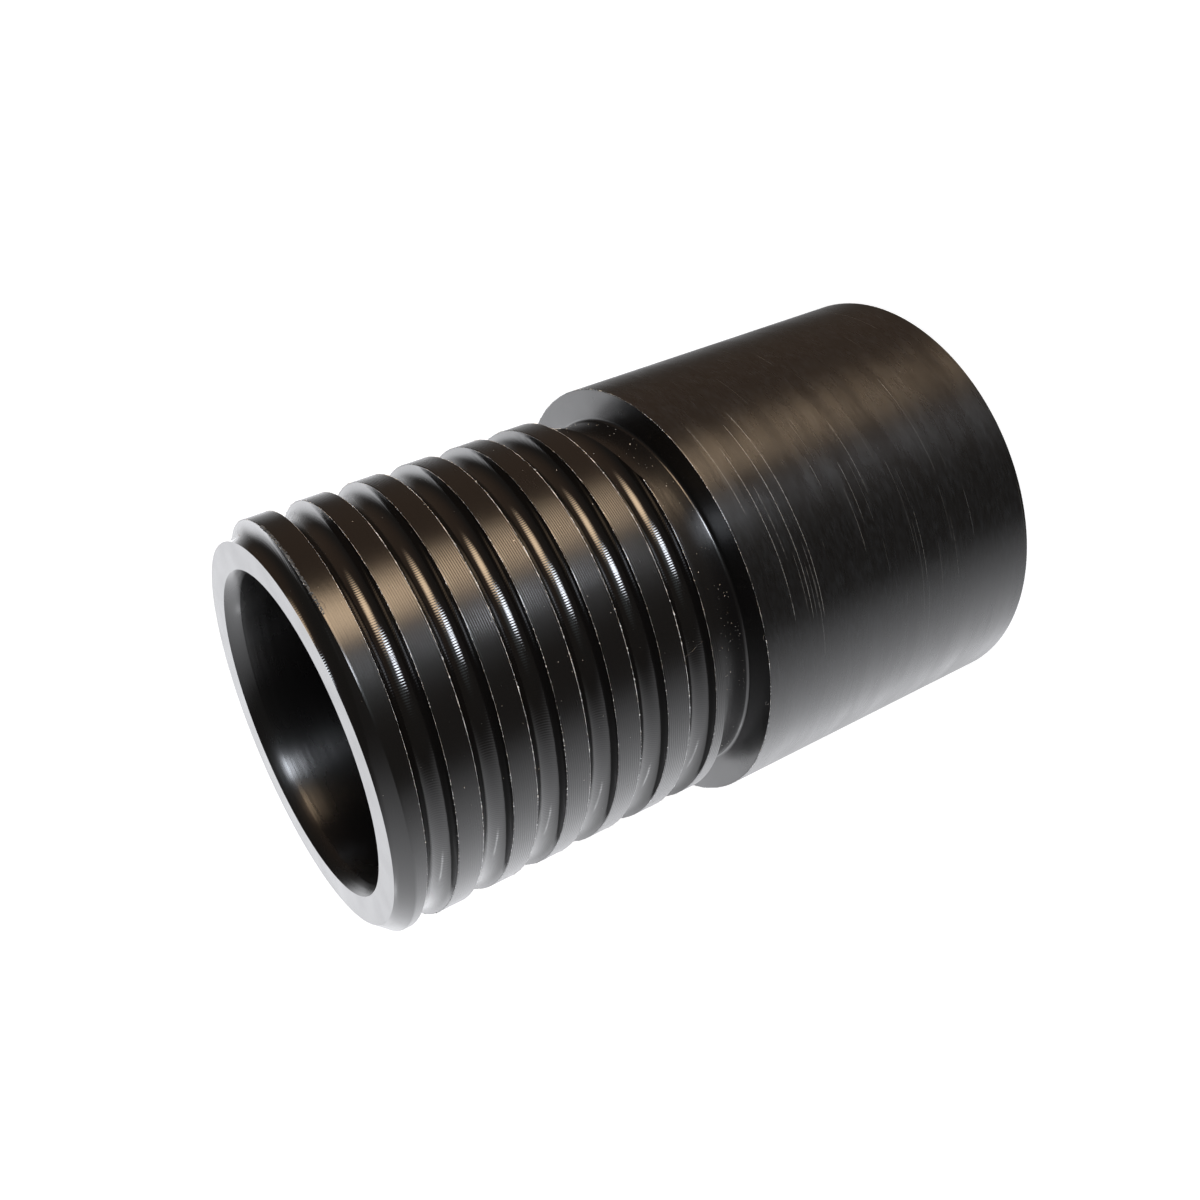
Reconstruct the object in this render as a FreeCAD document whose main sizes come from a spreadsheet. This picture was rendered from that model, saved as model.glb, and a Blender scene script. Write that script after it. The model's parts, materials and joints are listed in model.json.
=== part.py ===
import FreeCAD, Part
import os
import Sketcher

# Vacuum hose adapter, turned in one piece from a bar of black plastic.
# It stands on its plain end: the origin is the centre of that end, and +Z runs up the bore.
# The plain end is a 2 inch slip fit, and the left-hand thread takes the cuff of a 1 1/2 inch hose.

# Driving dimensions in millimetres.
SIZES = {
    "plain_diameter": 50.8,
    "plain_length": 39.6,
    "spigot_diameter": 47.1,
    "spigot_length": 44.4,
    "bore_diameter": 36.5,
    "mouth_diameter": 37.5,
    "mouth_length": 1.8,
    "thread_pitch": 6.35,
    "groove_radius": 1.75,
    "groove_depth": 1.75,
    "relief_width": 4.8,
    "relief_depth": 1.95,
    "relief_fillet": 0.4,
    "thread_end_chamfer": 1.45,
    "plain_end_chamfer": 0.3,
    "bore_end_chamfer": 0.5,
    "tool_overrun": 0.6,
}

# Places worked out from the driving dimensions, as expressions on the sheet.
AXIS = "0"
BASE = "0"
PLAIN_RADIUS = "Sizes.plain_diameter / 2"
SPIGOT_RADIUS = "Sizes.spigot_diameter / 2"
SHOULDER = "Sizes.plain_length"
TOP = "Sizes.plain_length + Sizes.spigot_length"
BORE_RADIUS = "Sizes.bore_diameter / 2"
BORE_FLARE = "Sizes.bore_diameter / 2 + Sizes.bore_end_chamfer"
MOUTH_RADIUS = "Sizes.mouth_diameter / 2"
MOUTH_BOTTOM = "Sizes.plain_length + Sizes.spigot_length - Sizes.mouth_length"
RELIEF_RADIUS = "Sizes.spigot_diameter / 2 - Sizes.relief_depth"
RELIEF_OUTSIDE = "Sizes.spigot_diameter / 2 + Sizes.tool_overrun"
RELIEF_TOP = "Sizes.plain_length + Sizes.relief_width"
GROOVE_CENTRE = "Sizes.spigot_diameter / 2 + Sizes.groove_radius - Sizes.groove_depth"
GROOVE_START = TOP + " + Sizes.groove_radius + Sizes.tool_overrun"
GROOVE_TRAVEL = ("Sizes.spigot_length + Sizes.groove_radius + Sizes.tool_overrun"
                 " - Sizes.relief_width / 2")


def add_sizes(doc):
    """Put each driving dimension in the sheet, with its name as the cell's alias."""
    sheet = doc.addObject("Spreadsheet::Sheet", "Sizes")
    for row, (name, value) in enumerate(SIZES.items(), start=1):
        sheet.set(f"A{row}", name)
        sheet.set(f"B{row}", str(value))
        sheet.setAlias(f"B{row}", name)
    doc.recompute()


def add_sketch(body, name):
    """Add a sketch on the body's own XZ plane, so its X is a radius and its Y a height."""
    plane = next(item for item in body.Origin.OriginFeatures if item.Role == "XZ_Plane")
    sketch = body.newObject("Sketcher::SketchObject", name)
    sketch.AttachmentSupport = [(plane, "")]
    sketch.MapMode = "FlatFace"
    return sketch


def place_point(sketch, edge, point, direction, expression):
    """Dimension a point from the axis (DistanceX) or from the base (DistanceY)."""
    value = float(sketch.evalExpression(expression))
    if value == 0:
        line_through_origin = -2 if direction == "DistanceX" else -1
        sketch.addConstraint(Sketcher.Constraint("PointOnObject", edge, point, line_through_origin))
        return
    place = sketch.addConstraint(Sketcher.Constraint(direction, -1, 1, edge, point, value))
    sketch.setExpression(f"Constraints[{place}]", expression)


def add_profile(body, name, corners):
    """Draw a closed outline whose corners are pairs of expressions: radius and height."""
    sketch = add_sketch(body, name)
    points = [FreeCAD.Vector(float(sketch.evalExpression(radius)), float(sketch.evalExpression(height)), 0)
              for radius, height in corners]
    last = len(points) - 1
    for index, point in enumerate(points):
        sketch.addGeometry(Part.LineSegment(point, points[(index + 1) % len(points)]))
    for index in range(len(points)):
        following = 0 if index == last else index + 1
        sketch.addConstraint(Sketcher.Constraint("Coincident", index, 2, following, 1))
    for index, (radius, height) in enumerate(corners):
        place_point(sketch, index, 1, "DistanceX", radius)
        place_point(sketch, index, 1, "DistanceY", height)
    return sketch


def turn(body, kind, name, profile):
    """Turn a profile a full revolution about the bore's axis, to add or to cut."""
    feature = body.newObject(kind, name)
    feature.Profile = profile
    feature.ReferenceAxis = (profile, ["V_Axis"])
    feature.Angle = 360
    return feature


def ring_edge(feature, radius, height):
    """Name the circular edge of a feature that has this radius and height."""
    radius = float(feature.evalExpression(radius))
    height = float(feature.evalExpression(height))
    for number, edge in enumerate(feature.Shape.Edges, start=1):
        curve = edge.Curve
        if not isinstance(curve, Part.Circle):
            continue
        if abs(curve.Radius - radius) < 1e-6 and abs(curve.Center.z - height) < 1e-6:
            return f"Edge{number}"
    raise RuntimeError(f"{feature.Label} has no circular edge of radius {radius} at height {height}")


def dress_edge(body, kind, name, base, edge, size_property, size):
    """Chamfer or fillet one edge of the feature before it."""
    body.Document.recompute()
    feature = body.newObject(kind, name)
    feature.Base = (base, [ring_edge(base, *edge)])
    feature.setExpression(size_property, size)
    return feature


def add_adapter(doc):
    """Turn the adapter in the order of the lathe: bar, relief, bore, edges and thread."""
    body = doc.addObject("PartDesign::Body", "Adapter")
    body.Label = "adapter_body"

    bar_profile = add_profile(body, "BarProfile", [
        (AXIS, BASE),
        (PLAIN_RADIUS, BASE),
        (PLAIN_RADIUS, SHOULDER),
        (SPIGOT_RADIUS, SHOULDER),
        (SPIGOT_RADIUS, TOP),
        (AXIS, TOP),
    ])
    bar = turn(body, "PartDesign::Revolution", "SteppedBar", bar_profile)

    relief_profile = add_profile(body, "ReliefProfile", [
        (RELIEF_RADIUS, SHOULDER),
        (RELIEF_OUTSIDE, SHOULDER),
        (RELIEF_OUTSIDE, RELIEF_TOP),
        (RELIEF_RADIUS, RELIEF_TOP),
    ])
    relief = turn(body, "PartDesign::Groove", "ThreadRelief", relief_profile)

    bore_profile = add_profile(body, "BoreProfile", [
        (AXIS, BASE),
        (BORE_FLARE, BASE),
        (BORE_RADIUS, "Sizes.bore_end_chamfer"),
        (BORE_RADIUS, MOUTH_BOTTOM),
        (MOUTH_RADIUS, TOP),
        (AXIS, TOP),
    ])
    bore = turn(body, "PartDesign::Groove", "Bore", bore_profile)

    root = dress_edge(body, "PartDesign::Fillet", "ReliefRoot", bore,
                      (RELIEF_RADIUS, SHOULDER), "Radius", "Sizes.relief_fillet")
    thread_end = dress_edge(body, "PartDesign::Chamfer", "ThreadEndChamfer", root,
                            (SPIGOT_RADIUS, TOP), "Size", "Sizes.thread_end_chamfer")
    plain_end = dress_edge(body, "PartDesign::Chamfer", "PlainEndChamfer", thread_end,
                           (PLAIN_RADIUS, BASE), "Size", "Sizes.plain_end_chamfer")

    thread = add_thread(body)
    doc.recompute()
    check_cuts([relief, bore, thread_end, plain_end, thread])
    return body


def add_thread(body):
    """Cut the round-bottomed left-hand groove, from above the thread end down into the relief."""
    profile = add_sketch(body, "GrooveProfile")
    radius = float(profile.evalExpression("Sizes.groove_radius"))
    centre = float(profile.evalExpression(GROOVE_CENTRE))
    start = float(profile.evalExpression(GROOVE_START))
    circle = profile.addGeometry(Part.Circle(FreeCAD.Vector(-centre, start, 0),
                                             FreeCAD.Vector(0, 0, 1), radius))
    size = profile.addConstraint(Sketcher.Constraint("Radius", circle, radius))
    profile.setExpression(f"Constraints[{size}]", "Sizes.groove_radius")
    reach = profile.addConstraint(Sketcher.Constraint("DistanceX", circle, 3, -1, 1, centre))
    profile.setExpression(f"Constraints[{reach}]", GROOVE_CENTRE)
    place_point(profile, circle, 3, "DistanceY", GROOVE_START)

    groove = body.newObject("PartDesign::SubtractiveHelix", "HoseThread")
    groove.Profile = profile
    groove.ReferenceAxis = (profile, ["V_Axis"])
    groove.Mode = "pitch-height-angle"
    groove.setExpression("Pitch", "Sizes.thread_pitch")
    groove.setExpression("Height", GROOVE_TRAVEL)
    groove.LeftHanded = True
    groove.Reversed = True
    return groove


def check_cuts(cuts):
    """Make sure that every cut took material off the feature before it."""
    for cut in cuts:
        if not cut.Shape.Volume < cut.BaseFeature.Shape.Volume:
            raise RuntimeError(f"{cut.Label} cuts nothing")


def check_document(doc, bodies):
    """Stop before anything is written if an object failed or a solid isn't sound."""
    for item in doc.Objects:
        if "Invalid" in item.State or "Error" in item.State:
            raise RuntimeError(f"{item.Label} failed: {item.State}")
    for body in bodies:
        if body.Shape.isNull() or not body.Shape.isValid():
            raise RuntimeError(f"{body.Label} has no valid shape")


def main():
    doc = FreeCAD.newDocument("VacuumHoseAdapter")
    add_sizes(doc)
    bodies = [add_adapter(doc)]
    check_document(doc, bodies)
    os.makedirs("parts", exist_ok=True)
    for body in bodies:
        body.Shape.exportStep(f"parts/{body.Label}.step")
        print(body.Label, "volume", round(body.Shape.Volume, 1), "mm3")


main()
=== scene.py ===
import json
import math

import bmesh
import bpy
import numpy as np
from bpy.props import FloatProperty, FloatVectorProperty, IntProperty, PointerProperty
from mathutils import Matrix, Quaternion, Vector


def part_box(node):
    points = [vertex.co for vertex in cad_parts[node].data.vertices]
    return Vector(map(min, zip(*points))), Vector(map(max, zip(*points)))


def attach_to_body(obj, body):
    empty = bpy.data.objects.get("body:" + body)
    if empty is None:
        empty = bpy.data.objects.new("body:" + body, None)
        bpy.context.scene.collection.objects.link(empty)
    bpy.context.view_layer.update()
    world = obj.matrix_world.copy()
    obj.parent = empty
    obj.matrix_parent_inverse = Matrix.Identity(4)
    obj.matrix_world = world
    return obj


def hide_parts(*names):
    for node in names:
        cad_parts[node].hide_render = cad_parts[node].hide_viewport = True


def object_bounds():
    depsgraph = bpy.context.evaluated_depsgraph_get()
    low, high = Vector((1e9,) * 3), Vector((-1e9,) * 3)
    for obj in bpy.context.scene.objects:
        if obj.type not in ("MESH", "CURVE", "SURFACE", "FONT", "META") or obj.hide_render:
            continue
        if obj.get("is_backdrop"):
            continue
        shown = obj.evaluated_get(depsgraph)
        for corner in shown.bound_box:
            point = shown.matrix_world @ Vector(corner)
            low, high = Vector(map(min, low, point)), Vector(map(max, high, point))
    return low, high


bl_info = {
    "name": "Vacuum hose adapter",
    "version": (1, 0, 0),
    "blender": (4, 5, 0),
    "location": "View3D > Sidebar > Adapter",
    "description": "Turned black plastic hose adapter with its tool marks, burrs and a plain studio",
    "category": "Add Mesh",
}

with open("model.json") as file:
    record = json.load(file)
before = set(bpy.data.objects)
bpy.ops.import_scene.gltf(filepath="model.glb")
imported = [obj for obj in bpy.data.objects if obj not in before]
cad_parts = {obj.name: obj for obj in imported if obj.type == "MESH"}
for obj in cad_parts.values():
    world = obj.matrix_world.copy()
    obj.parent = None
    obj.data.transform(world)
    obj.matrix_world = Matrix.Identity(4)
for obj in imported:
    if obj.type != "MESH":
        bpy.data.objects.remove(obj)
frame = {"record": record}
CAD_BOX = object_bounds()

NODE = "adapter_body"
MM = 0.001
MICRON = 0.000001
UP = Vector((0.0, 0.0, 1.0))

# Spacing of the feed marks on the crests, and of the chatter marks along the groove.
FEED = 0.254 * MM
CHATTER = 0.28 * MM

# The middle of a rounded edge lies this far inside its corner, as a share of the rounding's radius.
EDGE_MIDDLE = 0.29

# Points of the body nearer than this, in metres, are one point.
MERGE = 1e-7

# The azimuths in the next two lists run from +X towards -Y.
# Whiskers of plastic that still hang on: points of radius in mm, azimuth in degrees and height in mm.
HAIRS = (
    ((23.45, 109.9, 48.9), (23.75, 109.2, 48.3), (23.90, 108.3, 47.6), (23.90, 107.7, 46.9),
     (23.70, 107.6, 46.3)),
    ((25.30, 111.1, 39.55), (25.40, 111.4, 39.9), (25.48, 111.9, 40.0), (25.50, 112.3, 39.9)),
    ((25.30, 130.5, 39.55), (25.50, 130.3, 40.2), (25.60, 129.5, 40.5), (25.60, 128.8, 40.3)),
    ((23.20, 61.2, 82.6), (23.60, 62.2, 82.0), (23.68, 63.3, 81.7), (23.66, 64.3, 81.8), (23.45, 64.9, 82.1)),
)

# Long scratches on the plain end: height in mm, first and last azimuth in degrees, and strength.
SCRATCHES = (
    (37.05, 54, 83, 0.8), (35.40, 63, 112, 1.0), (34.50, 75, 97, 0.5), (33.55, 94, 111, 0.4),
    (33.00, 57, 113, 1.0), (32.50, 97, 113, 0.4), (32.00, 93, 112, 0.5), (31.90, 100, 125, 0.4),
    (31.50, 54, 114, 1.0), (29.40, 94, 98, 0.5), (26.73, 73, 84, 0.4), (25.40, 61, 68, 0.4),
    (24.20, 84, 103, 0.45), (23.30, 77, 96, 0.5), (21.40, 66, 90, 0.45), (20.90, 36, 45, 0.3),
    (16.40, 95, 117, 0.4), (11.60, 101, 121, 0.3), (11.55, 60, 69, 0.6), (8.60, 95, 111, 0.3),
)

# Lamps: name, longitude and latitude, half width and half height, how much of each half fades out (None
# for an oval that fades from its middle), colour times strength, and turn. Every angle is in degrees.
LAMPS = (
    ("window", (-69.6, 17.5), (9.3, 20), (5, 15), (23.0, 24.3, 26.5), 0),
    ("warm_lamp", (-41.5, -3.8), (21.9, 26.5), None, (12.4, 9.2, 6.1), -18),
    ("table_glint", (157, 13), (5, 5), (4, 4), (7.0, 7.1, 7.3), 0),
)
LAMP_DISTANCE = 2.5
LAMP_AIM = Vector((0.0, 0.0, 0.05))

MOUNTS = {mount["name"]: mount for mount in frame["record"]["mounts"]}
LOW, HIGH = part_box(NODE)


def mount_radius(name):
    """Radius of a round mount in millimetres."""
    return MOUNTS[name]["dims"]["r_mm"]


def length_property(name, description, millimetres):
    return FloatProperty(name=name, description=description, default=millimetres * MM, min=0.0,
                         precision=5, unit="LENGTH", subtype="DISTANCE")


def count_property(name, description, default, least=0):
    return IntProperty(name=name, description=description, default=default, min=least)


def angle_property(name, description, degrees):
    return FloatProperty(name=name, description=description, default=math.radians(degrees),
                         unit="ROTATION", subtype="ANGLE")


def colour_property(name, description, default):
    return FloatVectorProperty(name=name, description=description, default=default, min=0.0,
                               max=1.0, size=3, subtype="COLOR")


class AdapterSizes(bpy.types.PropertyGroup):
    """Sizes of the turned form, which follow the frame."""

    plain_radius: length_property("Plain end radius", "Outside of the plain end", mount_radius("plain_end"))
    crest_radius: length_property("Crest radius", "Outside of the thread's flat crests",
                                  mount_radius("thread"))
    bore_radius: length_property("Bore radius", "Inside of the bore", mount_radius("bore"))
    overall: length_property("Overall length", "From the plain end to the thread end", (HIGH.z - LOW.z) / MM)
    shoulder: length_property("Shoulder height", "From the plain end to the shoulder",
                              MOUNTS["shoulder"]["pos_m"][2] / MM)
    pitch: length_property("Thread pitch", "Rise of the groove in one turn", 6.35)
    groove_radius: length_property("Groove radius", "Radius of the round-bottomed groove", 1.75)
    relief_width: length_property("Relief width", "Width of the thread relief", 4.8)
    relief_depth: length_property("Relief depth", "Depth of the relief below the crests", 1.95)
    relief_fillet: length_property("Relief fillet", "Radius where the relief meets the shoulder", 0.4)
    end_chamfer: length_property("Thread end chamfer", "Depth of the thread end's chamfer", 1.45)
    chamfer_length: length_property("Chamfer length", "Length of that chamfer along the axis", 1.6)
    base_chamfer: length_property("Plain end chamfer", "Edge break on the plain end", 0.3)
    bore_chamfer: length_property("Bore chamfer", "Edge break in the bore at the plain end", 0.5)
    mouth_radius: length_property("Mouth radius", "Bore mouth at the thread end", 18.80)
    mouth_length: length_property("Mouth length", "Length of the tapered mouth", 1.7)
    groove_height: length_property("Groove height", "Height of one groove centre on the +X side", 76.83)


class AdapterDetail(bpy.types.PropertyGroup):
    """How finely the adapter is meshed, and how rough its edges are."""

    columns: count_property("Columns", "Steps round the axis", 288, 24)
    groove_steps: count_property("Groove steps", "Steps across the groove", 24, 6)
    edge_steps: count_property("Edge steps", "Steps round a sharp edge", 3, 1)
    edge_radius: length_property("Edge radius", "Rounding left on the thread's sharp edges", 0.08)
    lip_height: length_property("Lip height", "Rise of the lip rolled up on each crest's lower edge", 0.04)
    lip_width: length_property("Lip width", "Width of that lip", 0.26)
    torn_lumps: count_property("Torn lumps", "Lumps of plastic torn up on the first crest", 420)
    burr_height: length_property("Burr height", "Usual height of a burr on a sharp edge", 0.055)
    burr_step: length_property("Burr step", "Distance between points along a burr", 0.13)
    chips: count_property("Chips", "Places on the thread's edges that may hold a chip", 8500)
    specks: count_property("Dust specks", "Dust specks, apart from those crowded on one side", 520)
    seed: count_property("Seed", "Start of the random draws", 11)


class AdapterFinish(bpy.types.PropertyGroup):
    """Colours and gloss of the plastic, the burrs and the dust."""

    plastic: colour_property("Plastic", "Black plastic", (0.0036, 0.0033, 0.0032))
    burr: colour_property("Burr", "Plastic whitened where it is thin", (0.72, 0.72, 0.71))
    torn: colour_property("Torn", "Plastic torn up into lumps", (0.07, 0.075, 0.08))
    whisker: colour_property("Whisker", "Loose whiskers of plastic", (0.20, 0.19, 0.18))
    dust: colour_property("Dust", "Dust and fine chips", (0.50, 0.46, 0.40))
    scuffed: colour_property("Scuffed", "Plastic paled by a scratch", (0.12, 0.12, 0.117))
    haze: colour_property("Haze", "Plastic dulled by handling", (0.0115, 0.0125, 0.0140))
    refraction: FloatProperty(name="Refractive index", description="Index of the plastic", default=1.6,
                              min=1.0, max=3.0)


class AdapterStudio(bpy.types.PropertyGroup):
    """Camera, lamps and surroundings."""

    camera_distance: length_property("Camera distance", "From the bore's axis to the camera", 153.7)
    camera_side: length_property("Camera side", "Camera's place to the side of the axis", 0.95)
    camera_rise: length_property("Camera rise", "Camera's height above the thread end", 35.4)
    camera_dip: angle_property("Camera dip", "Angle that the camera looks down", 25.99)
    camera_roll: angle_property("Camera roll", "Turn of the camera about its sight line", -112.45)
    lens: FloatProperty(name="Lens", description="Focal length on a 36 mm sensor", default=43.0, min=1.0)
    light_level: FloatProperty(name="Light level", description="Scale of every light", default=1.0, min=0.0)


class Wire:
    """A shader socket, used in Python expressions that add Math nodes."""

    def __init__(self, shader, socket):
        self.shader = shader
        self.socket = socket

    def math(self, operation, *values):
        return self.shader.node("ShaderNodeMath", {"operation": operation}, dict(enumerate((self, *values))))

    def __add__(self, other):
        return self.math("ADD", other)

    __radd__ = __add__

    def __sub__(self, other):
        return self.math("SUBTRACT", other)

    def __rsub__(self, other):
        return self.shader.node("ShaderNodeMath", {"operation": "SUBTRACT"}, {0: other, 1: self})

    def __mul__(self, other):
        return self.math("MULTIPLY", other)

    __rmul__ = __mul__

    def __truediv__(self, other):
        return self.math("DIVIDE", other)

    def __pow__(self, other):
        return self.math("POWER", other)

    def sine(self):
        return self.math("SINE")

    def size(self):
        """The value without its sign."""
        return self.math("ABSOLUTE")

    def most(self, other):
        """The larger of two values."""
        return self.math("MAXIMUM", other)

    def least(self, other):
        """The smaller of two values."""
        return self.math("MINIMUM", other)

    def clamp(self):
        """Hold the value between 0 and 1."""
        return self.shader.node("ShaderNodeClamp", {}, {"Value": self})

    def smooth(self, low, high):
        """Rise smoothly from 0 at low to 1 at high."""
        return self.shader.node("ShaderNodeMapRange", {"interpolation_type": "SMOOTHSTEP"},
                                {"Value": self, "From Min": low, "From Max": high})


class Shader:
    """The node tree of a material, a lamp or the world, built from nothing."""

    def __init__(self, owner):
        owner.use_nodes = True
        owner.node_tree.nodes.clear()
        self.owner = owner
        self.tree = owner.node_tree

    def node(self, kind, settings, inputs, output=0):
        """Add a node: its settings first, then its sockets' values or links. Return one output."""
        node = self.tree.nodes.new(kind)
        for name, value in settings.items():
            setattr(node, name, value)
        for name, value in inputs.items():
            if isinstance(value, Wire):
                self.tree.links.new(value.socket, node.inputs[name])
            else:
                node.inputs[name].default_value = value
        return Wire(self, node.outputs[output]) if node.outputs else None

    def close(self, surface, kind="Material"):
        """Link the finished surface to the tree's output. Return what the tree belongs to."""
        self.node(f"ShaderNodeOutput{kind}", {}, {"Surface": surface})
        return self.owner

    def mix_colour(self, factor, first, second):
        """Blend from the first colour to the second as factor goes from 0 to 1."""
        first, second = (value if isinstance(value, Wire) else (*value, 1.0) for value in (first, second))
        return self.node("ShaderNodeMix", {"data_type": "RGBA"},
                         {0: factor, 6: first, 7: second}, output=2)

    def vector(self, operation, *values, output=0):
        return self.node("ShaderNodeVectorMath", {"operation": operation}, dict(enumerate(values)), output)

    def scale(self, colour, factor):
        """A colour times a value that varies."""
        return self.node("ShaderNodeVectorMath", {"operation": "SCALE"}, {0: colour, "Scale": factor})

    def combine(self, x, y, z):
        return self.node("ShaderNodeCombineXYZ", {}, {0: x, 1: y, 2: z})

    def split(self, vector):
        """The three parts of a vector."""
        parts = self.node("ShaderNodeSeparateXYZ", {}, {0: vector})
        return [Wire(self, output) for output in parts.socket.node.outputs]

    def noise(self, vector, scale, detail=2.0):
        """Noise from 0 to 1 with the given number of lumps in a metre of the vector."""
        return self.node("ShaderNodeTexNoise", {}, {"Vector": vector, "Scale": scale, "Detail": detail})


class TurnedShader(Shader):
    """The shader of one turned surface, with coordinates that follow the lathe."""

    def __init__(self, name, finish):
        super().__init__(bpy.data.materials.new(name))
        self.finish = finish
        self.place = self.node("ShaderNodeTexCoord", {}, {}, output="Object")
        self.x, self.y, self.z = self.split(self.place)
        self.azimuth = self.y.math("ARCTAN2", self.x)
        self.radius = (self.x * self.x + self.y * self.y) ** 0.5

    def streaks(self, across, scale, detail=2.0):
        """Noise that stretches round the axis: across times as fine as along it."""
        return self.noise(self.combine(self.x * across, self.y * across, self.z), scale, detail)

    def rings(self, across, scale):
        """Noise on a faced end that stretches into rings."""
        return self.noise(self.combine(self.x * across, self.y * across, self.radius), scale)

    def finish_with(self, roughness, microns, colour=None, brushed=0.0):
        """Close the shader: colour and roughness that vary, and a height in microns for the bump.

        brushed is how much the turning marks spread a reflection along the axis, from 0 to 1. A quarter
        turn of the anisotropy makes it spread along the axis, and not round it.
        """
        normal = self.node("ShaderNodeBump", {}, {"Strength": 1.0, "Distance": MICRON, "Height": microns})
        surface = self.node("ShaderNodeBsdfPrincipled", {}, {
            "Base Color": colour or (*self.finish.plastic, 1.0),
            "Roughness": roughness,
            "IOR": self.finish.refraction,
            "Anisotropic": brushed,
            "Anisotropic Rotation": 0.25,
            "Normal": normal,
        })
        return self.close(surface)


def long_scratches(shader):
    """Mask of the thin pale scratches that run round the plain end."""
    sway = 0.10 * MM
    height = shader.z + shader.noise(shader.place, 120.0, 1.0) * sway - sway / 2
    broken = shader.noise(shader.place, 2600.0, 1.0).smooth(0.30, 0.55)
    taper = 0.06
    mask = 0.0
    for level, first, last, strength in SCRATCHES:
        start, end = -math.radians(last), -math.radians(first)
        line = (height - level * MM).size().smooth(0.055 * MM, 0.015 * MM)
        span = shader.azimuth.smooth(start, start + taper) * shader.azimuth.smooth(end, end - taper)
        mask = (line * span * strength).most(mask)
    return mask * (0.25 + 0.75 * broken)


def short_scratches(shader):
    """Mask of many faint short scratches: one at a random place in each narrow ring."""
    ring_width = 0.42 * MM
    rings = shader.z * (1.0 / ring_width)
    cell = rings.math("FLOOR")
    first, second = (shader.node("ShaderNodeTexWhiteNoise", {"noise_dimensions": "1D"}, {"W": cell + shift})
                     for shift in (0.0, 0.5))
    start = first * math.tau - math.pi
    reach = 0.08 + 0.5 * second ** 3
    taper = 0.04
    along = shader.azimuth - start
    line = (rings - cell - 0.5).size().smooth(0.13, 0.03)
    return line * along.smooth(0.0, taper) * (reach - along).smooth(0.0, taper) * (0.05 + 0.15 * second)


def smears(shader):
    """Mask of fine dull smears that run round the adapter."""
    smear = shader.streaks(0.22, 4200.0).smooth(0.25, 0.85)
    cloud = shader.streaks(0.4, 900.0).smooth(0.25, 0.80)
    return smear * (0.3 + 0.7 * cloud)


def turned_plain(finish):
    """The plain end's outside: fine rings, a gloss worn in blotches, and scratches round it."""
    shader = TurnedShader("turned_plain_end", finish)
    fine = shader.streaks(0.08, 5200.0)
    bands = shader.streaks(0.12, 520.0, 3.0)
    grain = shader.streaks(0.5, 2100.0, 3.0)
    worn = shader.streaks(0.5, 260.0).smooth(0.25, 0.75)
    scratch = long_scratches(shader).most(short_scratches(shader))
    height = fine * 9.0 + bands * 22.0 + grain * 2.5 + scratch * 5.0
    smear = smears(shader)
    roughness = (0.20 + worn * 0.05 + grain * 0.03 + bands.smooth(0.3, 0.7) * 0.05
                 + smear * 0.02 + scratch * 0.25)
    dulled = shader.mix_colour(smear, finish.plastic, finish.haze)
    colour = shader.mix_colour(scratch, dulled, finish.scuffed)
    return shader.finish_with(roughness, height, colour, brushed=0.82)


def rise_over(shader, start, width):
    """A height that rises from 0 at start as a square, and would reach 1 one width further up."""
    share = ((shader.z - start) / width).most(0.0)
    return share * share


def turned_crest(finish, sizes):
    """The thread's flat crests: feed marks round the adapter, which are faint near the thread end."""
    shader = TurnedShader("turned_crests", finish)
    wave = (shader.z * (math.tau / FEED) + shader.azimuth).sine()
    fine = shader.streaks(0.10, 4200.0)
    grain = shader.noise(shader.place, 1600.0)
    patches = shader.streaks(0.6, 300.0, 3.0)
    deep = shader.noise(shader.place, 110.0).smooth(0.30, 0.70)
    brow_width = 0.25 * MM
    brow = rise_over(shader, chamfer_foot(sizes) - brow_width, brow_width)
    coarse = shader.z.smooth(sizes.overall - 4.0 * MM, sizes.overall - 18.0 * MM)
    feed = wave * (0.8 + coarse * (5.2 + 4.0 * deep))
    height = feed + fine * 7.0 + grain * 4.0 - brow * 34.0
    roughness = 0.225 + patches * 0.06 + smears(shader) * 0.02
    return shader.finish_with(roughness, height, brushed=0.68)


def cut_groove(finish, sizes):
    """The round-bottomed groove: glossy, with fine chatter across the direction of the cut."""
    shader = TurnedShader("cut_groove", finish)
    chatters = round(math.tau * (sizes.crest_radius - sizes.groove_radius) / CHATTER)
    sway = shader.noise(shader.place, 160.0)
    wave = (shader.azimuth * chatters + sway * 9.0).sine()
    deep = shader.noise(shader.place, 90.0).smooth(0.25, 0.65)
    fine = shader.streaks(0.25, 2400.0, 3.0)
    height = wave * (1.8 + 2.2 * deep) + fine * 7.0
    roughness = 0.09 + fine * 0.05
    return shader.finish_with(roughness, height)


def turned_relief(finish):
    """The relief's bottom and fillet: smooth and glossy, with soft rings."""
    shader = TurnedShader("turned_relief", finish)
    fine = shader.streaks(0.10, 3600.0)
    bands = shader.streaks(0.30, 420.0, 3.0)
    height = fine * 8.0 + bands * 45.0
    roughness = 0.17 + bands * 0.14
    return shader.finish_with(roughness, height, brushed=0.5)


def turned_face(finish, sizes):
    """Faced ends, shoulder and end chamfer: faint rings about the axis, and a rounded rim."""
    shader = TurnedShader("turned_faces", finish)
    rings = shader.rings(0.06, 2600.0)
    patches = shader.noise(shader.place, 260.0)
    rim_width = 0.45 * MM
    rim = rise_over(shader, sizes.overall - rim_width, rim_width)
    height = rings * 3.0 + patches * 6.0 + rim * 120.0
    roughness = 0.20 + patches * 0.10
    return shader.finish_with(roughness, height)


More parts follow.
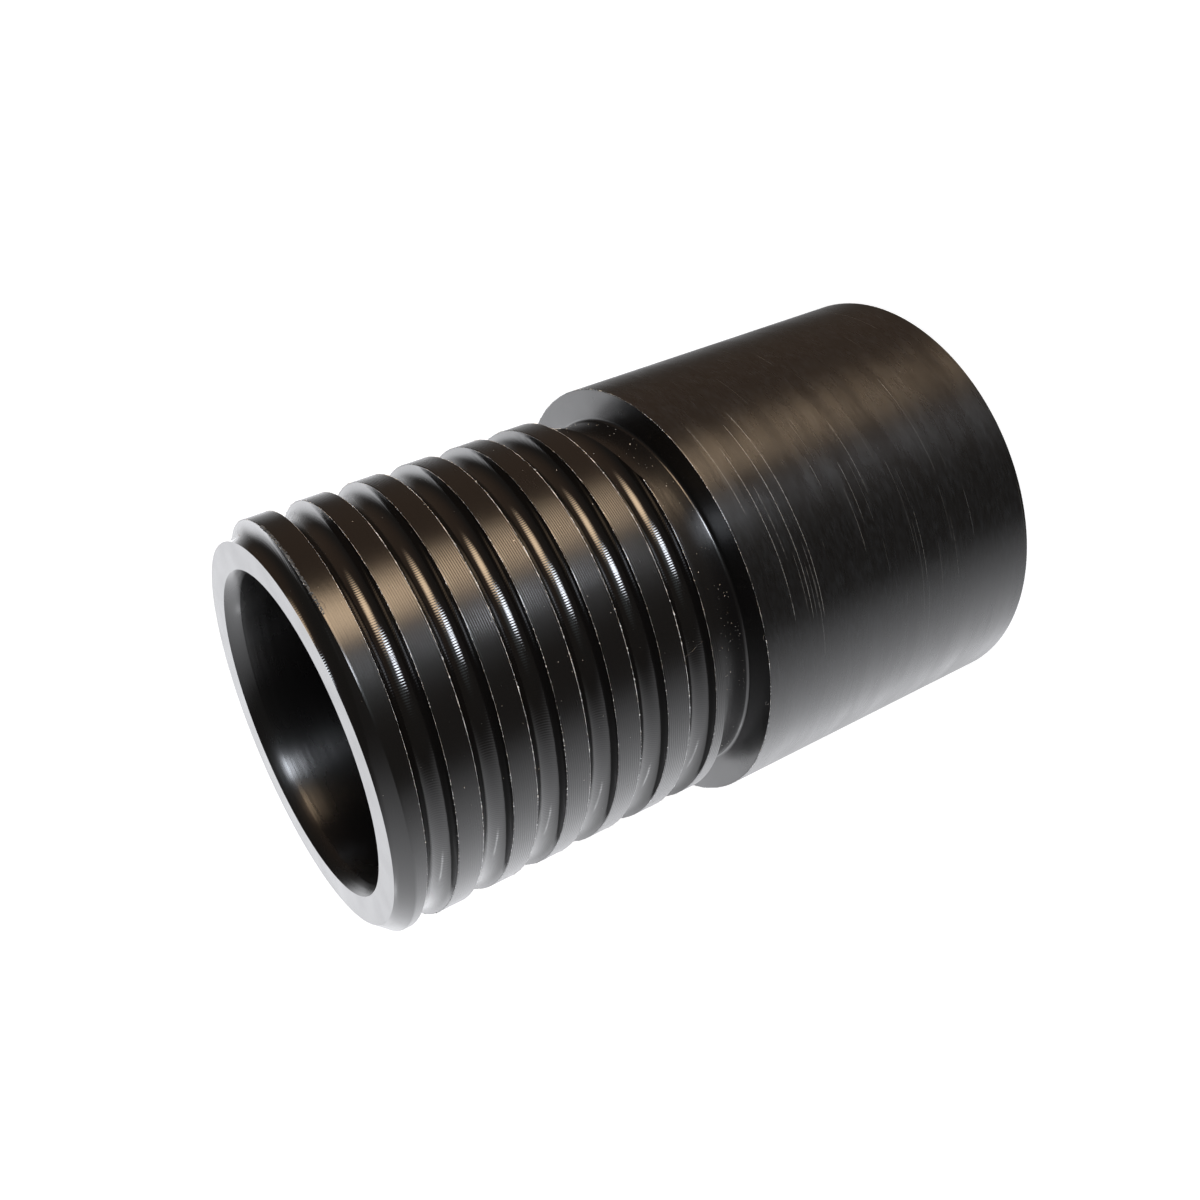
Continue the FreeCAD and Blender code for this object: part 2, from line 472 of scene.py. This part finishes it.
def bored_inside(finish, name, top, length, slope):
    """The bore or its mouth: faint boring marks, and an entry that is rounded down from its top.

    slope is how much more the surface leans at the top, and length how far down that reaches.
    """
    shader = TurnedShader(name, finish)
    marks = shader.streaks(0.03, 1500.0)
    waves = shader.streaks(0.40, 330.0, 3.0)
    entry = rise_over(shader, top - length, length)
    height = marks * 26.0 + waves * 26.0 - entry * (slope * length / 2 / MICRON)
    roughness = 0.22 + waves * 0.10
    return shader.finish_with(roughness, height, brushed=0.7)


def plain_material(name, colour, roughness):
    """Burrs and dust: pale, dull, a little uneven."""
    shader = Shader(bpy.data.materials.new(name))
    place = shader.node("ShaderNodeTexCoord", {}, {}, output="Object")
    patches = shader.noise(place, 900.0)
    dark = tuple(0.45 * part for part in colour)
    shade = shader.mix_colour(patches.smooth(0.35, 0.65), dark, tuple(colour))
    surface = shader.node("ShaderNodeBsdfPrincipled", {}, {"Base Color": shade, "Roughness": roughness})
    return shader.close(surface)


def add_object(name, data):
    """Put a mesh, a lamp or a camera into the scene."""
    added = bpy.data.objects.new(name, data)
    bpy.context.scene.collection.objects.link(added)
    return added


def polar(radius, azimuth, height):
    """A point from its radius, its azimuth in radians and its height."""
    return Vector((radius * math.cos(azimuth), radius * math.sin(azimuth), height))


def relief_top(sizes):
    """Height at which the thread ends and the relief begins."""
    return sizes.shoulder + sizes.relief_width


def thread_radius(sizes, azimuth, height):
    """Radius of the grooved cylinder at a place, before the end chamfer."""
    phase = sizes.groove_height - sizes.pitch * azimuth / math.tau
    offset = (height - phase + sizes.pitch / 2) % sizes.pitch - sizes.pitch / 2
    if abs(offset) >= sizes.groove_radius:
        return sizes.crest_radius
    return sizes.crest_radius - math.sqrt(sizes.groove_radius ** 2 - offset ** 2)


def chamfer_foot(sizes):
    """Height at which the thread end's chamfer begins."""
    return sizes.overall - sizes.chamfer_length


def chamfer_radius(sizes, height):
    """Radius of the thread end's chamfer, carried on at both ends."""
    return sizes.crest_radius - (height - chamfer_foot(sizes)) * sizes.end_chamfer / sizes.chamfer_length


def blank_radius(sizes, height):
    """Radius of the spigot with its end chamfer, before the groove."""
    return min(sizes.crest_radius, chamfer_radius(sizes, height))


def walk(start, legs):
    """Rows of points from start along straight legs, each of an end, steps and a finish.

    A row is a radius, a height and the finish of the faces below it. The last end has no row.
    """
    rows = []
    for end, steps, finish in legs:
        rows += [(start[0] + (end[0] - start[0]) * step / steps,
                  start[1] + (end[1] - start[1]) * step / steps, finish) for step in range(steps)]
        start = end
    return rows


def arc(centre, radius, first, turn, steps, finish):
    """Rows of points on an arc from the angle first, through turn, without its end."""
    return [(centre[0] + radius * math.cos(first + turn * step / steps),
             centre[1] + radius * math.sin(first + turn * step / steps), finish) for step in range(steps)]


class AdapterMesh:
    """Builds the turned and threaded body as columns of points round the axis."""

    PLAIN, CREST, GROOVE, RELIEF, FACE, BORE, MOUTH = range(7)

    def __init__(self, sizes, detail):
        self.sizes = sizes
        self.detail = detail
        self.relief_top = relief_top(sizes)
        self.relief_radius = sizes.crest_radius - sizes.relief_depth
        above = sizes.overall + sizes.groove_radius - sizes.groove_height
        self.highest = sizes.groove_height + sizes.pitch * math.ceil((above + sizes.pitch) / sizes.pitch)
        below = self.relief_top - sizes.groove_radius
        self.turns = math.ceil((self.highest - below) / sizes.pitch) + 3
        self.cell = self.thread_cell()

    def thread_cell(self):
        """Rows of one turn from the top down: radius, offset from the groove's centre, and finish.

        The groove's first and last face are narrow, so that the shading stays crisp at its edges.
        """
        sizes, detail = self.sizes, self.detail
        crest, groove, edge = sizes.crest_radius, sizes.groove_radius, detail.edge_radius
        steps, quarter = detail.edge_steps, math.pi / 2
        wall = math.acos(edge / groove)
        inner = wall - math.radians(1.5)
        bows = [wall, *(inner - 2 * inner * step / detail.groove_steps
                        for step in range(detail.groove_steps + 1))]
        rows = arc((crest + detail.lip_height - edge, groove + edge), edge, 0.0, -quarter, steps, self.CREST)
        rows += [(crest - groove * math.cos(bow), groove * math.sin(bow), self.GROOVE) for bow in bows]
        rows += arc((crest - edge, -groove - edge), edge, quarter, -quarter, steps, self.CREST)
        below = -groove - edge
        rows += [(crest, height, self.CREST) for height in
                 (below, below - edge * 0.7, -sizes.pitch + groove + edge + detail.lip_width)]
        return rows

    def thread_rows(self, azimuth):
        """Points down the thread, cut off by the end's face, its chamfer and the relief.

        Returns radius, height and finish of each, and the rows that lie on the chamfer's edges.
        """
        sizes = self.sizes
        foot = chamfer_foot(sizes)
        first = self.highest - sizes.pitch * azimuth / math.tau
        rows = [(radius, first - sizes.pitch * turn + offset, finish)
                for turn in range(self.turns) for radius, offset, finish in self.cell]
        proud = [radius - chamfer_radius(sizes, height) for radius, height, _ in rows]
        corners = set()
        for index, (above, below) in enumerate(zip(proud, proud[1:])):
            if (above > 0) == (below > 0):
                continue
            share = above / (above - below)
            nearest = index + round(share)
            rows[nearest] = (*(start + (end - start) * share for start, end in
                               zip(rows[index][:2], rows[index + 1][:2])), rows[nearest][2])
            corners.add(nearest)
        top_radius = min(sizes.crest_radius - sizes.end_chamfer, thread_radius(sizes, azimuth, sizes.overall))
        foot_radius = thread_radius(sizes, azimuth, self.relief_top)
        cut = []
        for radius, height, finish in rows:
            if height >= sizes.overall:
                cut.append((top_radius, sizes.overall, finish))
            elif height <= self.relief_top:
                cut.append((foot_radius, self.relief_top, finish))
            else:
                cut.append((min(radius, blank_radius(sizes, height)), height, finish))
        near = MERGE / 10
        on_cone = [height > foot - near and abs(radius - blank_radius(sizes, height)) < near
                   for radius, height, _ in cut]
        for index in range(len(cut) - 1):
            if on_cone[index] and on_cone[index + 1]:
                cut[index] = (*cut[index][:2], self.FACE)
        return cut, corners

    def outside_rows(self, foot_radius):
        """Points from the relief's upper wall down the outside to the plain end."""
        sizes, edge = self.sizes, self.detail.edge_radius
        fillet, quarter = sizes.relief_fillet, math.pi / 2
        centre = (self.relief_radius + fillet, sizes.shoulder + fillet)
        rim = (sizes.plain_radius - edge, sizes.shoulder - edge)
        relief = walk((foot_radius, self.relief_top), (
            ((self.relief_radius, self.relief_top), 2, self.FACE),
            ((self.relief_radius, centre[1]), 6, self.RELIEF)))
        corner = arc(centre, fillet, math.pi, quarter, 8, self.RELIEF)
        shoulder = walk((centre[0], sizes.shoulder), (
            ((rim[0] - edge, sizes.shoulder), 5, self.FACE),
            ((rim[0], sizes.shoulder), 1, self.FACE)))
        edge_round = arc(rim, edge, quarter, -quarter, self.detail.edge_steps, self.PLAIN)
        plain = walk((sizes.plain_radius, rim[1]), (
            ((sizes.plain_radius, rim[1] - edge), 1, self.PLAIN),
            ((sizes.plain_radius, sizes.base_chamfer), 12, self.PLAIN),
            ((sizes.plain_radius - sizes.base_chamfer, 0.0), 1, self.PLAIN),
            ((sizes.bore_radius + sizes.bore_chamfer, 0.0), 6, self.FACE)))
        return relief[1:] + corner + shoulder + edge_round + plain

    def inside_rows(self, top_radius):
        """Points from the plain end up the bore and out over the thread end's face."""
        sizes = self.sizes
        return walk((sizes.bore_radius + sizes.bore_chamfer, 0.0), (
            ((sizes.bore_radius, sizes.bore_chamfer), 1, self.BORE),
            ((sizes.bore_radius, sizes.overall - sizes.mouth_length), 16, self.BORE),
            ((sizes.mouth_radius, sizes.overall), 3, self.MOUTH),
            ((top_radius, sizes.overall), 6, self.FACE)))

    def build(self, name):
        """Join the columns into one closed mesh. After a full turn the groove is one pitch lower.

        A face that the chamfer's edge crosses is split along that edge.
        """
        points, finishes, corners = [], [], set()
        for column in range(self.detail.columns):
            azimuth = math.tau * column / self.detail.columns
            thread, edges = self.thread_rows(azimuth)
            inside = self.inside_rows(thread[0][0])
            rows = inside + thread + self.outside_rows(thread[-1][0])
            corners.update(len(points) + len(inside) + index for index in edges)
            points += [polar(radius, azimuth, height) for radius, height, _ in rows]
            finishes += [finish for _, _, finish in rows]
        count, thread_start, thread_end = len(rows), len(inside), len(inside) + len(thread)

        def point(column, row):
            """Index of a row's point. Past the last column, the thread's rows go on one turn lower."""
            row %= count
            if column < self.detail.columns:
                return column * count + row
            if thread_start <= row < thread_end:
                row = min(row + len(self.cell), thread_end - 1)
            return row

        faces, kinds = [], []
        for column in range(self.detail.columns):
            for row in range(count):
                here, under = point(column, row), point(column, row + 1)
                beside, beyond = point(column + 1, row), point(column + 1, row + 1)
                if here in corners and beyond in corners:
                    parts = [(here, under, beyond), (here, beyond, beside)]
                elif under in corners and beside in corners:
                    parts = [(here, under, beside), (under, beyond, beside)]
                else:
                    parts = [(here, under, beyond, beside)]
                faces += parts
                kinds += [finishes[here]] * len(parts)
        return self.to_object(name, points, faces, kinds)

    def to_object(self, name, points, faces, finishes):
        """Make the object, with sharp edges where two finishes meet hard or the surface turns."""
        mesh = bpy.data.meshes.new(name)
        mesh.from_pydata(points, [], faces)
        mesh.polygons.foreach_set("material_index", finishes)
        work = bmesh.new()
        work.from_mesh(mesh)
        bmesh.ops.remove_doubles(work, verts=work.verts, dist=MERGE)
        bmesh.ops.dissolve_degenerate(work, dist=MERGE, edges=work.edges)
        bmesh.ops.recalc_face_normals(work, faces=work.faces)
        sharp = math.radians(40)
        hard = ({self.BORE, self.MOUTH}, {self.FACE, self.GROOVE}, {self.FACE, self.CREST})
        for face in work.faces:
            face.smooth = True
        for edge in work.edges:
            meeting = {face.material_index for face in edge.link_faces}
            edge.smooth = edge.is_manifold and edge.calc_face_angle(math.pi) < sharp and meeting not in hard
        work.to_mesh(mesh)
        work.free()
        return add_object(name, mesh)


def attach(piece):
    """Make a piece ride on the adapter's only body."""
    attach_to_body(piece, "root")


def surface_point(sizes, azimuth, height):
    """A point of the finished outside, above the shoulder."""
    if height < relief_top(sizes):
        radius = sizes.crest_radius - sizes.relief_depth
    else:
        radius = min(blank_radius(sizes, height), thread_radius(sizes, azimuth, height))
    return polar(radius, azimuth, height)


class Scraps:
    """Small closed shapes that together make one piece."""

    def __init__(self):
        self.points = []
        self.faces = []

    def make_piece(self, name, material):
        """Make the piece, with every shape's faces turned outwards."""
        mesh = bpy.data.meshes.new(name)
        mesh.from_pydata([tuple(point) for point in self.points], [], self.faces)
        work = bmesh.new()
        work.from_mesh(mesh)
        bmesh.ops.recalc_face_normals(work, faces=work.faces)
        work.to_mesh(mesh)
        work.free()
        mesh.materials.append(material)
        attach(add_object(name, mesh))


class SliverStrip(Scraps):
    """Thin ragged slivers along edges, each a closed tube of three sides."""

    def add(self, edge_points, inner, outer, tips):
        """Add one run from the edge's points, two base offsets and the tip at each point."""
        start = len(self.points)
        count = len(edge_points)
        for point, first, second, tip in zip(edge_points, inner, outer, tips):
            self.points += [point + first, point + second, point + tip]
        for index in range(count - 1):
            a = start + 3 * index
            for side in range(3):
                following = (side + 1) % 3
                self.faces.append((a + side, a + following, a + 3 + following, a + 3 + side))
        self.faces.append((start + 2, start + 1, start))
        end = start + 3 * (count - 1)
        self.faces.append((end, end + 1, end + 2))


def wander(rng, count, reach):
    """Smooth random values from 0 to 1 along a run, which change over about reach points."""
    knots = rng.random(count // reach + 3)
    places = np.arange(count) / reach
    index = places.astype(int)
    share = places - index
    share = share * share * (3 - 2 * share)
    return knots[index] * (1 - share) + knots[index + 1] * share


def burr_heights(rng, count):
    """Shares of the usual height along a burr: a low ragged lip, broken by gaps and a few tall flakes."""
    lip = (0.18 + 0.85 * rng.random(count) ** 3) * (0.25 + 1.6 * wander(rng, count, 5) ** 2)
    gaps = wander(rng, count, 17) < 0.36
    lip[gaps] *= 0.3
    flakes = rng.random(count) < 0.05
    lip[flakes] += 0.8 + 2.0 * rng.random(int(flakes.sum()))
    return lip


def along_edge(start, end, radius, step):
    """Azimuths from start to end, one step apart at the radius."""
    return np.linspace(start, end, int((end - start) * radius / step))


def helix_edge(sizes, detail, side):
    """First and last azimuth of the groove's upper (side 1) or lower (side -1) mouth, and its place.

    The place is a function of azimuth, on the middle of the edge's small rounding.
    """
    inset = EDGE_MIDDLE * detail.edge_radius
    radius = sizes.crest_radius + (0.6 * detail.lip_height if side > 0 else 0.0) - inset
    level = sizes.groove_height + side * (sizes.groove_radius + inset)
    start = (level - chamfer_foot(sizes)) / sizes.pitch * math.tau
    end = (level - relief_top(sizes)) / sizes.pitch * math.tau

    def place(azimuth):
        return polar(radius, azimuth, level - sizes.pitch * azimuth / math.tau)

    return start, end, place


def add_burr(strip, rng, azimuths, place, along, usual, lean_in):
    """Burr along an edge: a lip that stands outward and leans towards the direction along.

    usual is its usual height, as one number or as one for each azimuth.
    """
    count = len(azimuths)
    heights = usual * burr_heights(rng, count)
    lean = lean_in * (0.2 + 0.8 * wander(rng, count, 31))
    foot = 0.05 * MM
    edge, inner, outer, tips = [], [], [], []
    for index, azimuth in enumerate(azimuths):
        azimuth = float(azimuth)
        radial = polar(1.0, azimuth, 0.0)
        edge.append(place(azimuth))
        inner.append(-along * foot - radial * foot * 0.3)
        outer.append(-radial * foot - along * foot * 0.3)
        tips.append((radial * (1.2 - lean[index]) + along * lean[index]) * float(heights[index]))
    strip.add(edge, inner, outer, tips)


def add_hair(strip, points, thickness):
    """A fine curled whisker of plastic through points of radius, azimuth in degrees and height in mm."""
    path = [polar(radius * MM, -math.radians(azimuth), height * MM) for radius, azimuth, height in points]
    fine = []
    for first, second in zip(path, path[1:]):
        fine += [first.lerp(second, step / 4) for step in range(4)]
    fine.append(path[-1])
    smooth = [fine[0], *((a + b + c) / 3 for a, b, c in zip(fine, fine[1:], fine[2:])), fine[-1]]
    radials = [Vector((point.x, point.y, 0.0)).normalized() for point in smooth]
    side = thickness / 2
    strip.add(smooth, [-radial * side - UP * side for radial in radials],
              [-radial * side + UP * side for radial in radials], [radial * side for radial in radials])


class ChipCloud(Scraps):
    """Small irregular chips: each is an icosphere with its corners pulled in or out."""

    def __init__(self):
        super().__init__()
        work = bmesh.new()
        bmesh.ops.create_icosphere(work, subdivisions=1, radius=1.0)
        work.verts.index_update()
        self.corners = [vert.co.copy() for vert in work.verts]
        self.sides = [[vert.index for vert in face.verts] for face in work.faces]
        work.free()

    def add(self, rng, centre, size):
        """Add a chip of about the given radius."""
        start = len(self.points)
        pulls = 0.6 + 0.8 * rng.random(len(self.corners))
        self.points += [centre + corner * (size * float(pull)) for corner, pull in zip(self.corners, pulls)]
        self.faces += [[start + index for index in side] for side in self.sides]


def draw(rng, least, spread, power=1):
    """A random value from least to least + spread. A higher power makes large ones rarer."""
    return least + spread * rng.random() ** power


class ADAPTER_OT_body(bpy.types.Operator):
    """Turn the adapter's body with its thread, and give each surface its own finish"""

    bl_idname = "adapter.body"
    bl_label = "Adapter body"

    def execute(self, context):
        scene = context.scene
        sizes, finish = scene.adapter_sizes, scene.adapter_finish
        piece = AdapterMesh(sizes, scene.adapter_detail).build("adapter")
        mouth_bottom = sizes.overall - sizes.mouth_length
        for material in (turned_plain(finish), turned_crest(finish, sizes), cut_groove(finish, sizes),
                         turned_relief(finish), turned_face(finish, sizes),
                         bored_inside(finish, "bored_inside", mouth_bottom, 3.2 * MM, 0.14),
                         bored_inside(finish, "bored_mouth", sizes.overall, sizes.mouth_length, 0.45)):
            piece.data.materials.append(material)
        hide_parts(NODE)
        attach(piece)
        return {"FINISHED"}


class ADAPTER_OT_burrs(bpy.types.Operator):
    """Raise thin ragged burrs along the edges of the groove, the relief and the shoulder"""

    bl_idname = "adapter.burrs"
    bl_label = "Edge burrs"

    def execute(self, context):
        scene = context.scene
        sizes, detail, finish = scene.adapter_sizes, scene.adapter_detail, scene.adapter_finish
        rng = np.random.default_rng(detail.seed)
        material = plain_material("whitened_burr", finish.burr, 0.45)
        threads = SliverStrip()
        # On the upper mouth the burr grows from faint to full over this many turns.
        growing_turns = 1.6
        for side in (1, -1):
            start, end, place = helix_edge(sizes, detail, side)
            azimuths = along_edge(start, end, sizes.crest_radius, detail.burr_step)
            grown = np.clip((azimuths - start) / (growing_turns * math.tau), 0.0, 1.0) ** 2
            usual = detail.burr_height * (0.75 * (0.15 + 0.85 * grown) if side > 0 else 1.0)
            add_burr(threads, rng, azimuths, place, -side * UP, usual, 0.7)
        foot = relief_top(sizes)
        azimuths = along_edge(math.radians(-20.0), math.radians(160.0), sizes.crest_radius, detail.burr_step)
        add_burr(threads, rng, azimuths,
                 lambda azimuth: polar(thread_radius(sizes, azimuth, foot), azimuth, foot),
                 -UP, detail.burr_height * 0.35, 0.8)
        threads.make_piece("thread_burrs", material)
        rings = SliverStrip()
        rim = EDGE_MIDDLE * detail.edge_radius
        add_burr(rings, rng, along_edge(0.0, math.tau, sizes.plain_radius, detail.burr_step),
                 lambda azimuth: polar(sizes.plain_radius - rim, azimuth, sizes.shoulder - rim),
                 UP, detail.burr_height * 0.7, 1.2)
        rings.make_piece("shoulder_burr", material)
        hairs = SliverStrip()
        for points in HAIRS:
            add_hair(hairs, points, 0.018 * MM)
        hairs.make_piece("loose_whiskers", plain_material("whiskers", finish.whisker, 0.5))
        return {"FINISHED"}


class ADAPTER_OT_chips(bpy.types.Operator):
    """Hang small chips on the thread's edges, and scatter dust in the relief and the grooves"""

    bl_idname = "adapter.chips"
    bl_label = "Chips and dust"

    def execute(self, context):
        scene = context.scene
        sizes, detail, finish = scene.adapter_sizes, scene.adapter_detail, scene.adapter_finish
        rng = np.random.default_rng(detail.seed + 1)
        chips = ChipCloud()
        edges = [helix_edge(sizes, detail, side) for side in (1, -1)]
        stretches = 720
        crowds = [wander(rng, stretches, 4) for _ in edges]
        lower_mouth, least_chance = 0.55, 0.18
        for _ in range(detail.chips):
            line = int(rng.random() < lower_mouth)
            start, end, place = edges[line]
            share, chance = rng.random(), rng.random()
            crowd = crowds[line][int(share * stretches)] ** 3
            if chance > least_chance + (1.0 - least_chance) * crowd:
                continue
            size = MM * draw(rng, 0.016, 0.046, 2.5)
            chips.add(rng, place(start + (end - start) * share), size)
        for _ in range(detail.chips // 10):
            azimuth = draw(rng, 0.0, math.tau)
            size = MM * draw(rng, 0.016, 0.035, 2)
            chips.add(rng, polar(sizes.plain_radius, azimuth, sizes.shoulder), size)
        chips.make_piece("edge_chips", plain_material("whitened_chips", finish.burr, 0.5))
        torn = ChipCloud()
        for _ in range(detail.torn_lumps):
            azimuth = -math.radians(draw(rng, 27.0, 39.0))
            size = MM * draw(rng, 0.035, 0.085, 2)
            mouth = sizes.groove_height + sizes.pitch * (1.0 - azimuth / math.tau) - sizes.groove_radius
            level = min(chamfer_foot(sizes), mouth) - MM * draw(rng, 0.0, 0.24)
            torn.add(rng, polar(sizes.crest_radius, azimuth, level), size)
        torn.make_piece("torn_edge", plain_material("torn_plastic", finish.torn, 0.5))
        dust = ChipCloud()
        in_relief = 0.3
        for _ in range(detail.specks):
            azimuth = draw(rng, 0.0, math.tau)
            if rng.random() < in_relief:
                rise = sizes.relief_width * draw(rng, 0.1, 0.8)
            else:
                rise = (sizes.overall - sizes.shoulder) * draw(rng, 0.0, 1.0)
            size = MM * draw(rng, 0.018, 0.045, 3)
            dust.add(rng, surface_point(sizes, azimuth, sizes.shoulder + rise), size)
        for _ in range(detail.specks // 9):
            azimuth = -math.radians(draw(rng, 95.0, 35.0))
            rise = sizes.relief_width * draw(rng, 0.12, 0.8, 1.5)
            size = MM * draw(rng, 0.014, 0.030, 3)
            dust.add(rng, surface_point(sizes, azimuth, sizes.shoulder + rise), size)
        dust.make_piece("dust_specks", plain_material("dust_and_chips", finish.dust, 0.8))
        return {"FINISHED"}


def studio_world(studio):
    """Surroundings: a white table on the side where the picture's bottom is, and a dim warm room.

    rise, down and side are how nearly a direction points up the adapter's axis, down to the table, and
    along the table past the adapter.
    """
    world = bpy.data.worlds.new("studio")
    bpy.context.scene.world = world
    shader = Shader(world)
    direction = shader.node("ShaderNodeTexCoord", {}, {}, output="Generated")
    down, side, rise, warmth, beside = (
        shader.vector("DOT_PRODUCT", direction, way, output="Value")
        for way in ((-0.7277, 0.686, 0.0), (0.686, 0.7277, 0.0), (0.0, 0.0, 1.0),
                    (0.883, -0.321, -0.342), (0.342, -0.939, 0.035)))
    fall = rise * -1.0
    far = side.smooth(-0.1, 0.5)
    behind = side.smooth(0.35, 0.65)
    edge = 2.1 - 0.85 * far * fall.smooth(-0.02, 0.30) - 1.39 * behind * rise.smooth(0.0, 0.20)
    lean = 0.55 * side.smooth(-0.5, 0.1) - 0.02
    table = ((down - rise.most(0.0) * lean) * 2.45).least(edge).most(0.0)
    table = table * (1.0 - 0.45 * far * fall.smooth(0.30, 0.60))
    wall = 2.04 * behind * rise.smooth(0.0, 0.30) * rise.smooth(0.62, 0.42) * down.smooth(-0.05, 0.30)
    brink = 0.9 * down.smooth(0.30, 0.50) * side.smooth(0.60, 0.72) * fall.smooth(0.10, 0.30)
    dim, warm, white, bluish = (
        tuple(part * studio.light_level for part in colour)
        for colour in ((0.065, 0.061, 0.055), (0.22, 0.142, 0.094), (0.985, 0.995, 1.03), (0.37, 0.45, 0.47)))
    room = shader.mix_colour(warmth.smooth(0.30, 1.0), dim, warm)
    daylight = shader.scale(bluish, beside.smooth(0.86, 0.985))
    pale = shader.scale(white, table + wall + brink)
    colour = shader.vector("ADD", shader.vector("ADD", room, daylight), pale)
    background = shader.node("ShaderNodeBackground", {}, {"Color": colour, "Strength": 1.0})
    shader.close(background, "World")


def studio_lamp(level, name, place, half, soft, radiance, turn):
    """An area lamp that looks at the adapter and fades out towards its edges. LAMPS gives its values."""
    longitude, latitude = (math.radians(angle) for angle in place)
    sight = polar(math.cos(latitude), longitude, math.sin(latitude))
    lamp = bpy.data.lights.new(name, "AREA")
    lamp.shape = "RECTANGLE"
    lamp.size, lamp.size_y = (2 * LAMP_DISTANCE * math.tan(math.radians(angle)) for angle in half)
    peak = max(radiance)
    lamp.color = tuple(part / peak for part in radiance)
    lamp.energy = peak * level * math.pi * lamp.size * lamp.size_y
    shader = Shader(lamp)
    across = shader.split(shader.node("ShaderNodeNewGeometry", {}, {}, output="Parametric"))
    shares = [(share - 0.5).size() * 2.0 for share in across[:2]]
    if soft:
        fades = [share.smooth(1.0, 1.0 - edge / whole) for share, whole, edge in zip(shares, half, soft)]
        fade = fades[0] * fades[1]
    else:
        fade = ((shares[0] * shares[0] + shares[1] * shares[1]) ** 0.5).smooth(1.0, 0.22)
    glow = shader.node("ShaderNodeEmission", {}, {"Color": (1.0, 1.0, 1.0, 1.0), "Strength": fade})
    shader.close(glow, "Light")
    lamp_object = add_object(name, lamp)
    lamp_object.location = LAMP_AIM + sight * LAMP_DISTANCE
    facing = sight.to_track_quat("Z", "Y") @ Quaternion(UP, math.radians(turn))
    lamp_object.rotation_euler = facing.to_euler()
    lamp_object.visible_camera = False


def stage_white(name, mesh, level):
    """A piece of the stage that shows white behind the adapter.

    It stays out of the adapter's own reflections and light, because the plastic mirrors the dim room.
    """
    stage = add_object(name, mesh)
    shader = Shader(bpy.data.materials.new(f"pale_{name}"))
    camera, glossy, clear = (shader.node("ShaderNodeLightPath", {}, {}, output=kind)
                             for kind in ("Is Camera Ray", "Is Glossy Ray", "Is Transmission Ray"))
    seen = (camera + glossy + clear).clamp()
    matt = shader.node("ShaderNodeBsdfDiffuse", {}, {"Color": (0.5, 0.5, 0.5, 1.0)})
    glow = shader.node("ShaderNodeEmission", {}, {"Color": (1.0, 1.0, 1.0, 1.0), "Strength": seen * level})
    both = shader.node("ShaderNodeAddShader", {}, {0: matt, 1: glow})
    mesh.materials.append(shader.close(both))
    stage.visible_glossy = False
    stage.visible_diffuse = False
    stage.visible_shadow = False
    stage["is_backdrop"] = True


def studio_floor():
    """A pale floor under the adapter and a white dome round it."""
    half = 3.2
    floor = bpy.data.meshes.new("floor")
    floor.from_pydata([(-half, -half, 0), (half, -half, 0), (half, half, 0), (-half, half, 0)], [],
                      [(0, 1, 2, 3)])
    stage_white("floor", floor, 0.82)
    work = bmesh.new()
    bmesh.ops.create_uvsphere(work, u_segments=48, v_segments=24, radius=3.0)
    dome = bpy.data.meshes.new("backdrop")
    work.to_mesh(dome)
    work.free()
    stage_white("backdrop", dome, 1.0)


def studio_camera(sizes, studio):
    """The camera at the viewing angle of the picture, rolled so that the adapter lies as it does there."""
    data = bpy.data.cameras.new("camera")
    data.lens = studio.lens
    data.sensor_width = 36.0
    data.clip_start = 0.005
    camera = add_object("camera", data)
    tilt = Matrix.Rotation(math.pi / 2 - studio.camera_dip, 4, "X")
    roll = Matrix.Rotation(studio.camera_roll, 4, "Z")
    place = Matrix.Translation((studio.camera_side, -studio.camera_distance,
                                sizes.overall + studio.camera_rise))
    camera.matrix_world = place @ tilt @ roll
    bpy.context.scene.camera = camera


class ADAPTER_OT_stage(bpy.types.Operator):
    """Set up the floor, the surroundings, the lamps and the camera"""

    bl_idname = "adapter.stage"
    bl_label = "Studio"

    def execute(self, context):
        scene = context.scene
        studio = scene.adapter_studio
        studio_world(studio)
        studio_floor()
        for lamp in LAMPS:
            studio_lamp(studio.light_level, *lamp)
        studio_camera(scene.adapter_sizes, studio)
        scene.view_settings.view_transform = "Standard"
        return {"FINISHED"}


class ADAPTER_PT_panel(bpy.types.Panel):
    """Lists the adapter's pieces and its studio"""

    bl_label = "Adapter"
    bl_idname = "ADAPTER_PT_panel"
    bl_space_type = "VIEW_3D"
    bl_region_type = "UI"
    bl_category = "Adapter"

    def draw(self, context):
        for operator in OPERATORS:
            self.layout.operator(operator.bl_idname)


GROUPS = {
    "adapter_sizes": AdapterSizes,
    "adapter_detail": AdapterDetail,
    "adapter_finish": AdapterFinish,
    "adapter_studio": AdapterStudio,
}
OPERATORS = (ADAPTER_OT_body, ADAPTER_OT_burrs, ADAPTER_OT_chips, ADAPTER_OT_stage)
CLASSES = (*GROUPS.values(), *OPERATORS, ADAPTER_PT_panel)


def register():
    for item in CLASSES:
        bpy.utils.register_class(item)
    for name, group in GROUPS.items():
        setattr(bpy.types.Scene, name, PointerProperty(type=group))


def unregister():
    for name in GROUPS:
        delattr(bpy.types.Scene, name)
    for item in reversed(CLASSES):
        bpy.utils.unregister_class(item)


def main():
    register()
    bpy.ops.adapter.body()
    bpy.ops.adapter.burrs()
    bpy.ops.adapter.chips()
    bpy.ops.adapter.stage()
    boxes = {"cad": CAD_BOX, "visual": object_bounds()}
    plain = {name: [[float(value) for value in corner] for corner in box] for name, box in boxes.items()}


if __name__ == "__main__":
    main()
